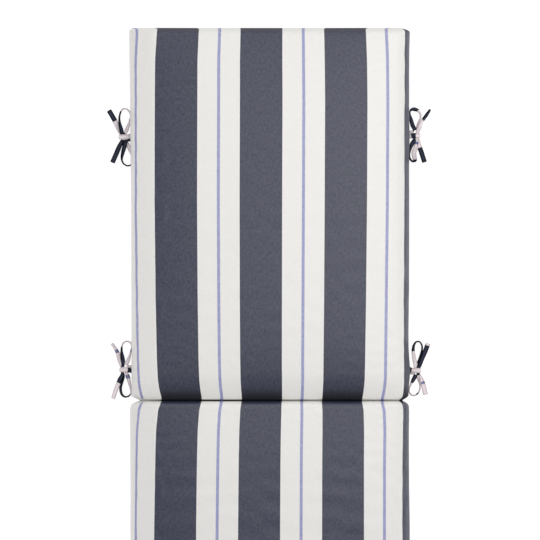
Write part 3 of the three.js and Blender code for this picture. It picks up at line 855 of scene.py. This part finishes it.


# the colours given include painted shade: the tape's darker edges, and on the cover the shade and shadow
# line by the fold and at the head
def stripedCanvas(name, dyesAndShades, stripes, weave, stitches=None, rumplesAndShade=None):
    material = bpy.data.materials.new(name)
    material.use_nodes = True
    tree = material.node_tree
    shader = tree.nodes["Principled BSDF"]
    cloth = addNode(tree, "ShaderNodeUVMap", uv_map="cloth")
    place = addNode(tree, "ShaderNodeSeparateXYZ")
    feed(tree, place.inputs[0], cloth.outputs[0])
    dyed = addNode(tree, "ShaderNodeGroup", node_tree=stripes)
    woven = addNode(tree, "ShaderNodeGroup", node_tree=weave)
    for group in (dyed, woven):
        feed(tree, group.inputs["Across"], place.outputs[0])
        feed(tree, group.inputs["Along"], place.outputs[1])

    weft = sums(tree, "MULTIPLY", woven.outputs["Weft"], canvas["weftShare"])
    slub = sums(tree, "MULTIPLY_ADD", woven.outputs["Slub"], canvas["slubShare"], weft)
    flecks = sums(tree, "MULTIPLY_ADD", woven.outputs["Warp"], canvas["warpShare"], slub)
    height = sums(tree, "MULTIPLY_ADD", flecks, canvas["fleckHeight"], woven.outputs["Height"])
    light = flecks
    if stitches:
        tapeMap = addNode(tree, "ShaderNodeUVMap", uv_map="tape")
        spot = addNode(tree, "ShaderNodeSeparateXYZ")
        feed(tree, spot.inputs[0], tapeMap.outputs[0])
        light, folded = tapeShade(tree, flecks, spot.outputs[0])
        sewn = addNode(tree, "ShaderNodeGroup", node_tree=stitches)
        fromRow = sums(tree, "SUBTRACT", folded, dyesAndShades["stitchFromEdge"])
        feed(tree, sewn.inputs["Aside"], sums(tree, "MULTIPLY", fromRow, tape["width"] * 2))
        feed(tree, sewn.inputs["Along"], spot.outputs[1])
        height = sums(tree, "MULTIPLY_ADD", sewn.outputs["Stitch"], -dyesAndShades["stitchDepth"], height)
    white = blendColours(tree, light, dyesAndShades["whiteShade"], dyesAndShades["white"])
    charcoal = blendColours(tree, light, dyesAndShades["charcoal"], dyesAndShades["charcoalLight"])
    blue = blendColours(tree, light, dyesAndShades["blue"], dyesAndShades["blueLight"])
    if rumplesAndShade:
        place = addNode(tree, "ShaderNodeSeparateXYZ")
        feed(tree, place.inputs[0], addNode(tree, "ShaderNodeTexCoord").outputs["Object"])
        edges = addNode(tree, "ShaderNodeSeparateXYZ")
        feed(tree, edges.inputs[0], addNode(tree, "ShaderNodeUVMap", uv_map="edges").outputs[0])
        rumpledAndShaded = addNode(tree, "ShaderNodeGroup", node_tree=rumplesAndShade)
        feed(tree, rumpledAndShaded.inputs["Away"], edges.outputs[0])
        feed(tree, rumpledAndShaded.inputs["Across"], place.outputs[0])
        feed(tree, rumpledAndShaded.inputs["Along"], place.outputs[1])
        height = sums(tree, "ADD", height, rumpledAndShaded.outputs["Height"])
        # painted shade: the charcoal turns near-black above the fold and at the head, and a painted shadow
        # line crosses the white at the fold; roughness rises there too
        charcoal = blendColours(tree, rumpledAndShaded.outputs["Open"], dyesAndShades["paintedShadeColour"], charcoal)
        white = blendColours(tree, rumpledAndShaded.outputs["ShadowLine"], white, dyesAndShades["paintedShadeColour"])
        smoother = dyesAndShades["roughness"] - dyesAndShades["deepRoughness"]
        roughness = sums(tree, "MULTIPLY_ADD", rumpledAndShaded.outputs["Open"], smoother, dyesAndShades["deepRoughness"])
        feed(tree, shader.inputs["Roughness"], roughness)
    else:
        shader.inputs["Roughness"].default_value = dyesAndShades["roughness"]
    colour = blendColours(tree, dyed.outputs["Charcoal"], white, charcoal)
    colour = blendColours(tree, dyed.outputs["Blue"], colour, blue)
    bump = addNode(tree, "ShaderNodeBump")
    bump.inputs["Strength"].default_value, bump.inputs["Distance"].default_value = canvas["bump"]
    feed(tree, bump.inputs["Height"], height)
    feed(tree, shader.inputs["Base Color"], colour)
    feed(tree, shader.inputs["Normal"], bump.outputs["Normal"])
    shader.inputs["Specular IOR Level"].default_value = dyesAndShades["gloss"]
    return material


stripeNodes = stripeGroup()
weaveNodes = weaveGroup()
coverCanvas = stripedCanvas("coverCanvas", canvas, stripeNodes, weaveNodes, rumplesAndShade=rumpleAndShadeGroup())
tapeCanvas = stripedCanvas("tapeCanvas", tapeDyesAndShades, stripeNodes, weaveNodes, stitchGroup())
print("canvas woven")

for bow in bows:
    for kind in ("wrap", "core"):
        addTape(bow, kind)
print("ties tied")


# steps lie closer together towards the seams, the ends and the fold
def closerAtEdges(t, packing):
    return sin(t * packing) / sin(packing)


def closerAtEnds(share):
    close = share ** 2 / (share ** 2 + (1 - share) ** 2)
    return lerp(share, close, pad["closerAlong"])


def alongPad(step):
    toHead = step > pad["stepsSeat"]
    steps, end = (pad["stepsBack"], pad["head"]) if toHead else (pad["stepsSeat"], pad["foot"])
    share = closerAtEnds(abs(step - pad["stepsSeat"]) / steps)
    if share in (0, 1):
        return end if share else pad["fold"]
    fromFold = abs(end - pad["fold"]) * share
    reach, power = pad["closerByFold"]
    fromFold *= (fromFold / (fromFold + reach)) ** power
    return pad["fold"] + fromFold * (1 if toHead else -1)


# the cover starts as a cube cut into even squares, which are then laid over the pad
def coverMesh():
    stepsAlong = pad["stepsSeat"] + pad["stepsBack"]
    bm = bmesh.new()
    bmesh.ops.create_cube(bm, size=2)
    for axis, steps in enumerate((pad["stepsAcross"], stepsAlong, pad["stepsHigh"])):
        uncut = [e for e in bm.edges if abs(e.verts[0].co[axis] - e.verts[1].co[axis]) > 1.9]
        bmesh.ops.subdivide_edges(bm, edges=uncut, cuts=steps - 1, use_grid_fill=True)
    bm.normal_update()
    bm.verts.index_update()

    panel = {}
    for face in bm.faces:
        panel[face.index] = "boxing" if abs(face.normal.x) > 0.5 else "wrap"
    crease = bm.edges.layers.float.new("crease_edge")
    seams = bm.verts.layers.int.new("seam")
    for edge in bm.edges:
        if len({panel[face.index] for face in edge.link_faces}) == 2:
            edge[crease] = pad["seamCrease"]
            for vert in edge.verts:
                vert[seams] = 1

    grid = {}
    pitch = pad["wanderPitch"]
    for vert in bm.verts:
        across = closerAtEdges(vert.co.x, pad["closerAcross"])
        step = round((vert.co.y + 1) / 2 * stepsAlong)
        high = (closerAtEdges(vert.co.z, pad["closerHigh"]) + 1) / 2
        grid[vert.index] = (round((vert.co.x + 1) / 2 * pad["stepsAcross"]), step, vert.co.z)
        y = alongPad(step)
        x = across * sideHalf(y, 1 if across > 0 else -1, high)
        z = lerp(bottomUp(across, y), topUp(across, y), high)
        if vert[seams]:
            x += pad["seamWander"] * noise.noise(Vector((y * pitch[0], x * pitch[1], z * pitch[2])))
        vert.co = (x, y + endShift(across, y, high), z)
    layStripes(bm, panel, grid)
    return bm


# where the middle charcoal stripe runs and how far the cloth is eased in, from the head end down:
# along, the stripe's middle across, ease, and how much is tucked into the right-hand seam
lieOfStripes = [
    (0.965, -0.01645, 0.985, 0.001),
    (0.959, -0.01665, 0.990, 0.001),
    (0.900, -0.01735, 1.005, 0.0016),
    (0.819, -0.01715, 1.009, 0.002),
    (0.615, -0.01785, 1.008, 0.002),
    (0.412, -0.01785, 0.998, 0.0018),
    (0.290, -0.01755, 0.987, 0.0006),
    (0.249, -0.01695, 0.980, 0),
    (0.229, -0.01635, 0.968, 0),
    (0.2145, -0.01555, 0.954, 0),
    (0.208, -0.01585, 0.950, 0),
    (0.204, -0.01665, 0.953, 0),
    (0.188, -0.01795, 0.974, 0),
    (0.147, -0.01945, 0.986, 0),
    (0.086, -0.02045, 0.989, 0.0006),
    (-0.066, -0.02155, 0.995, 0.0012),
    (-0.965, -0.02155, 1.0, 0.0012),
]


# the canvas follows each panel's curve, so where it turns down at a seam it looks narrower
def layStripes(bm, panel, grid):
    cloth = bm.loops.layers.uv.new("cloth")
    edges = bm.loops.layers.uv.new("edges")
    rows = {}
    for vert in bm.verts:
        column, step, level = grid[vert.index]
        if abs(level) > 0.999:  # level is 1 on the top panel and -1 on the bottom one
            rows.setdefault((step, level > 0), []).append((column, vert))
    reach = {}
    for (step, top), row in rows.items():
        row.sort(key=lambda item: item[0])
        middle = min(range(len(row)), key=lambda i: abs(row[i][1].co.x))
        for direction in (1, -1):
            travelled = abs(row[middle][1].co.x)
            before = row[middle][1]
            i = middle
            reach[before.index] = before.co.x
            while 0 <= i + direction < len(row):
                i += direction
                vert = row[i][1]
                travelled += (Vector((vert.co.x, vert.co.z)) - Vector((before.co.x, before.co.z))).length
                reach[vert.index] = direction * travelled
                before = vert
    byColumn = {}
    for vert in bm.verts:
        column, step, level = grid[vert.index]
        if vert.index in reach and level > 0:
            byColumn[column, step] = reach[vert.index]
    for face in bm.faces:
        side = 1 if face.calc_center_median().x > 0 else -1
        for corner in face.loops:
            vert = corner.vert
            column, step, level = grid[vert.index]
            y = vert.co.y
            toSide = sideHalf(y, side, 1) - abs(vert.co.x)
            toTop = pad["topSeamUp"] - vert.co.z
            corner[edges].uv = (toTop if panel[face.index] == "boxing" else toSide, y)
            if panel[face.index] == "boxing":
                middle = canvas["repeat"] / 2 if side < 0 else 0
                corner[cloth].uv = (middle + vert.co.z - pad["topSeamUp"] / 2, y)
                continue
            across = reach.get(vert.index, byColumn.get((column, step), vert.co.x))
            middle = readBetween(lieOfStripes, y)
            ease = readBetween(lieOfStripes, y, 2)
            nearSeam = clamp((across - canvas["tuckFrom"]) / canvas["tuckReach"], 0, 1)
            tucked = readBetween(lieOfStripes, y, 3) * nearSeam
            corner[cloth].uv = ((across - middle) / ease + tucked, y - vert.co.z)


# the seams are drawn in a little by their stitching
def pinch(bm):
    bm.normal_update()
    seams = bm.verts.layers.int["seam"]
    moves = [(vert, vert.normal.copy()) for vert in bm.verts if vert[seams]]
    for vert, normal in moves:
        vert.co -= normal * pad["seamPinch"]


# the canvas is a little larger than its filling, which presses it out and leaves it uneven
filling = {
    "pressure": 4.0,
    "spare": 0.009,
    "bending": 0.3,
    "quality": 6,
    "frames": 20,
    "most": 0.0030,
    "hold": 0.5,
    "faceUp": 0.25,  # what is free to move faces up this much and lies above this height
    "above": 0.03,
    "foldReach": 0.025,
}


# seams, underside, boxing and fold stay where they are
def heldShare(vert, seams):
    onTop = vert.normal.z > filling["faceUp"] and vert.co.z > filling["above"]
    if vert[seams] or not onTop:
        return 1
    toFold = shoulder(abs(vert.co.y - pad["fold"]), filling["foldReach"])
    return lerp(1, filling["hold"], toFold)


def settle(cover, held):
    group = cover.vertex_groups.new(name="held")
    for index, share in enumerate(held):
        group.add([index], share, "REPLACE")
    cloth = cover.modifiers.new("settle", "CLOTH")
    cloth.settings.use_pressure = True
    cloth.settings.uniform_pressure_force = filling["pressure"]
    cloth.settings.effector_weights.gravity = 0
    cloth.settings.vertex_group_mass = "held"
    cloth.settings.shrink_min = -filling["spare"]
    cloth.settings.bending_stiffness = filling["bending"]
    cloth.settings.quality = filling["quality"]
    cloth.collision_settings.use_collision = False
    cloth.point_cache.frame_start = 1
    cloth.point_cache.frame_end = filling["frames"]
    for frame in range(1, filling["frames"] + 1):
        scene.frame_set(frame)
    settled = cover.evaluated_get(bpy.context.evaluated_depsgraph_get()).data
    moves = [after.co - before.co for after, before in zip(settled.vertices, cover.data.vertices)]
    cover.modifiers.remove(cloth)
    cover.vertex_groups.remove(group)
    scene.frame_set(1)
    rises = [move.dot(vert.normal) for move, vert in zip(moves, cover.data.vertices)]
    for vert, rise in zip(cover.data.vertices, rises):
        vert.co += vert.normal * clamp(rise, -filling["most"], filling["most"])
    longest = max(abs(rise) for rise in rises)
    print(f"canvas settled, {longest * 1000:.1f} mm at most")


def addCover():
    bm = coverMesh()
    pinch(bm)
    bm.normal_update()
    seams = bm.verts.layers.int["seam"]
    held = [heldShare(vert, seams) for vert in bm.verts]
    cover = addObject("cushion_cover", meshFrom(bm, "cushion_cover"))
    settle(cover, held)
    cover.data.materials.append(coverCanvas)
    smooth = cover.modifiers.new("smooth", "SUBSURF")
    smooth.levels = smooth.render_levels = 1
    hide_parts("cushion")
    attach(cover, "root")


addCover()
print("cushion covered")


# floor and light
studio = {
    "floorHalf": 8.0,
    "floorColour": (0.2, 0.2, 0.2, 1),
    "floorGlow": 0.9,
    "floorRoughness": 0.9,
    "floorGloss": 0.1,
    "fill": (0.95, 0.93, 1.0),
    "fillStrength": 0.44,
}

# name, place, aim, size, glow, colour
softboxes = [
    ("key", (0.55, 0.78, 2.0), (0.55, 0.78, 0.0), (1.4, 1.4), 2.7, (1.0, 0.99, 0.97)),
    ("head", (0.2, 3.6, 2.4), (0.0, 0.1, 0.0), (3.0, 2.0), 1.8, (1.0, 0.98, 0.98)),
    ("left", (-4.5, -0.6, 3.0), (0.0, -0.2, 0.0), (3.0, 3.0), 1.9, (0.99, 0.97, 1.0)),
    ("right", (4.5, -0.6, 3.0), (0.0, -0.2, 0.0), (3.0, 3.0), 1.9, (0.99, 0.97, 1.0)),
]


def addFloor():
    bm = bmesh.new()
    bmesh.ops.create_grid(bm, x_segments=1, y_segments=1, size=studio["floorHalf"])
    floorPiece = addObject("floor", meshFrom(bm, "floor"))
    paper = bpy.data.materials.new("floorPaper")
    paper.use_nodes = True
    shader = paper.node_tree.nodes["Principled BSDF"]
    shader.inputs["Base Color"].default_value = studio["floorColour"]
    shader.inputs["Roughness"].default_value = studio["floorRoughness"]
    shader.inputs["Specular IOR Level"].default_value = studio["floorGloss"]
    shader.inputs["Emission Color"].default_value = (1, 1, 1, 1)
    shader.inputs["Emission Strength"].default_value = studio["floorGlow"]
    floorPiece.data.materials.append(paper)


def addSoftbox(name, place, aim, size, glow, colour):
    light = bpy.data.lights.new(name, "AREA")
    light.shape = "RECTANGLE"
    light.size, light.size_y = size
    light.energy = glow * size[0] * size[1] * pi
    light.color = colour
    softbox = addObject(name, light)
    softbox.location = place
    softbox.rotation_euler = (Vector(aim) - Vector(place)).to_track_quat("-Z", "Y").to_euler()
    softbox.visible_camera = False


def addStudio():
    addFloor()
    for softbox in softboxes:
        addSoftbox(*softbox)
    world = bpy.data.worlds.new("studio")
    world.use_nodes = True
    world.node_tree.nodes["Background"].inputs["Color"].default_value = (*studio["fill"], 1)
    world.node_tree.nodes["Background"].inputs["Strength"].default_value = studio["fillStrength"]
    scene.world = world


addStudio()
print("studio lit")
